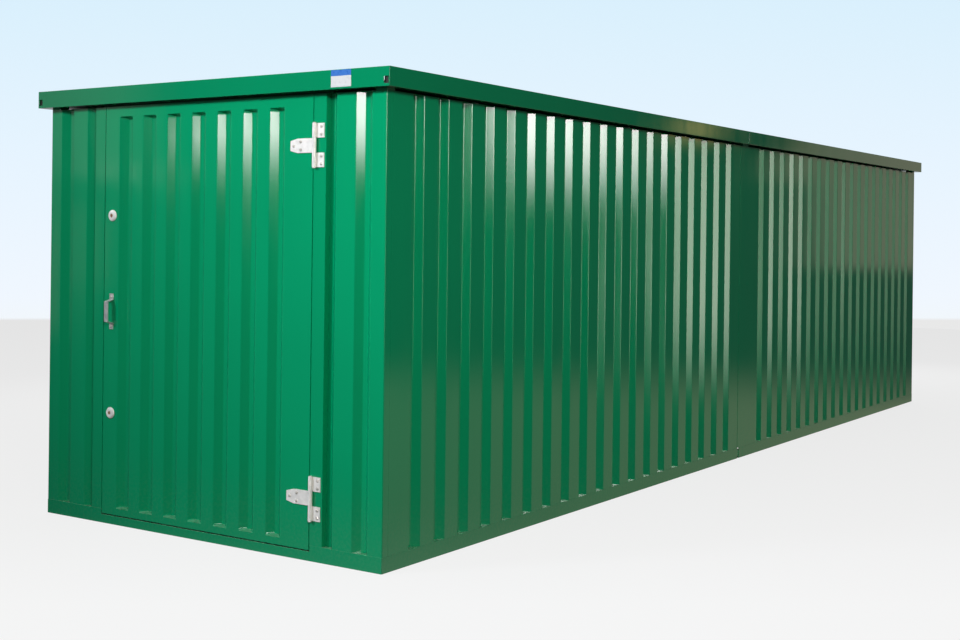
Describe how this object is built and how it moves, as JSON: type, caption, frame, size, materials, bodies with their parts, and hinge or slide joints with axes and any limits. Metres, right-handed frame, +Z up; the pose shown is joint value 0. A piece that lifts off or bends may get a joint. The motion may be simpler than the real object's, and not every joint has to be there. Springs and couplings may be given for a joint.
{
  "type": "flat-pack storage container",
  "caption": "Walk-in steel storage container of corrugated sheet panels, two linked bays long, with one strap-hinged lockable door in its short end.",
  "frame": {"origin": "middle of the footprint on the ground, halfway along and across the roof trims' outline", "axes": "+X to the door's hinge side, +Y from the door end to the rear, +Z up"},
  "size_m": [2.23, 8.1, 2.15],
  "materials": {
    "green_sheet": "gloss",
    "green_frame": "gloss",
    "galvanised": "spangled zinc",
    "zinc_plated": "bright zinc",
    "fastener": "dull zinc",
    "key_brass": "worn",
    "plywood": "filmed board",
    "seal_rubber": "matt",
    "plate_white": "gloss"
  },
  "bodies": {
    "container": {"base_rail_front": "green_frame", "base_rail_rear": "green_frame", "base_rail_right_1": "green_frame", "base_rail_right_2": "green_frame", "base_rail_left_1": "green_frame", "base_rail_left_2": "green_frame", "base_joint_plates": "green_frame", "floor_cross_members": "green_frame", "floor_boards_1": "plywood", "floor_boards_2": "plywood", "corner_posts": "green_frame", "joint_posts": "green_frame", "front_panel_right": "green_sheet", "front_panel_left": "green_sheet", "side_wall_right_1": "green_sheet", "side_wall_right_2": "green_sheet", "side_wall_left_1": "green_sheet", "side_wall_left_2": "green_sheet", "rear_wall": "green_sheet", "head_rails": "green_frame", "door_jamb_right": "green_frame", "door_jamb_left": "green_frame", "door_header": "green_frame", "door_stops": "green_frame", "roof_trim_front": "green_frame", "roof_trim_rear": "green_frame", "roof_trim_right_1": "green_frame", "roof_trim_right_2": "green_frame", "roof_trim_left_1": "green_frame", "roof_trim_left_2": "green_frame", "trim_joint_plates": "green_frame", "roof_sheets_1": "galvanised", "roof_sheets_2": "galvanised", "roof_bows": "galvanised", "ridge_caps": "galvanised", "roof_joint_cap": "galvanised", "joint_covers": "green_sheet", "joint_bolts": "fastener", "trim_plate": "plate_white", "hinge_leaves": "zinc_plated", "hinge_pins": "zinc_plated", "leaf_bolts": "fastener", "strike_plates": "zinc_plated"},
    "door": {"door_skin": "green_sheet", "door_frame": "green_frame", "door_stiffeners": "green_frame", "hinge_strap_upper": "zinc_plated", "hinge_strap_lower": "zinc_plated", "strap_bolts": "fastener", "hinge_backing_plates": "galvanised", "pull_handle": "galvanised", "handle_bolts": "fastener", "lock_roses": "zinc_plated", "lock_cases": "galvanised", "door_seal": "seal_rubber"},
    "lock_rotor_upper": {"lock_rotor_upper": "key_brass"},
    "lock_rotor_lower": {"lock_rotor_lower": "key_brass"},
    "lock_bolt_upper": {"lock_bolt_upper": "zinc_plated"},
    "lock_bolt_lower": {"lock_bolt_lower": "zinc_plated"}
  },
  "joints": [
    {"name": "door_hinge", "type": "hinge", "parent": "container", "child": "door", "pos_m": [0.678, -4.0105, 1.054], "axis": [0, 0, 1], "range_deg": [0, 170]},
    {"name": "key_upper", "type": "hinge", "parent": "door", "child": "lock_rotor_upper", "pos_m": [-0.608, -4, 1.52], "axis": [0, -1, 0], "range_deg": [0, 90]},
    {"name": "throw_upper", "type": "slide", "parent": "door", "child": "lock_bolt_upper", "axis": [-1, 0, 0], "range_m": [0, 0.02]},
    {"name": "key_lower", "type": "hinge", "parent": "door", "child": "lock_rotor_lower", "pos_m": [-0.608, -4, 0.548], "axis": [0, -1, 0], "range_deg": [0, 90]},
    {"name": "throw_lower", "type": "slide", "parent": "door", "child": "lock_bolt_lower", "axis": [-1, 0, 0], "range_m": [0, 0.02]}
  ],
  "couplings": [
    {"joint": "throw_upper", "follows": "key_upper", "m_per_rad": 0.0127},
    {"joint": "throw_lower", "follows": "key_lower", "m_per_rad": 0.0127}
  ]
}
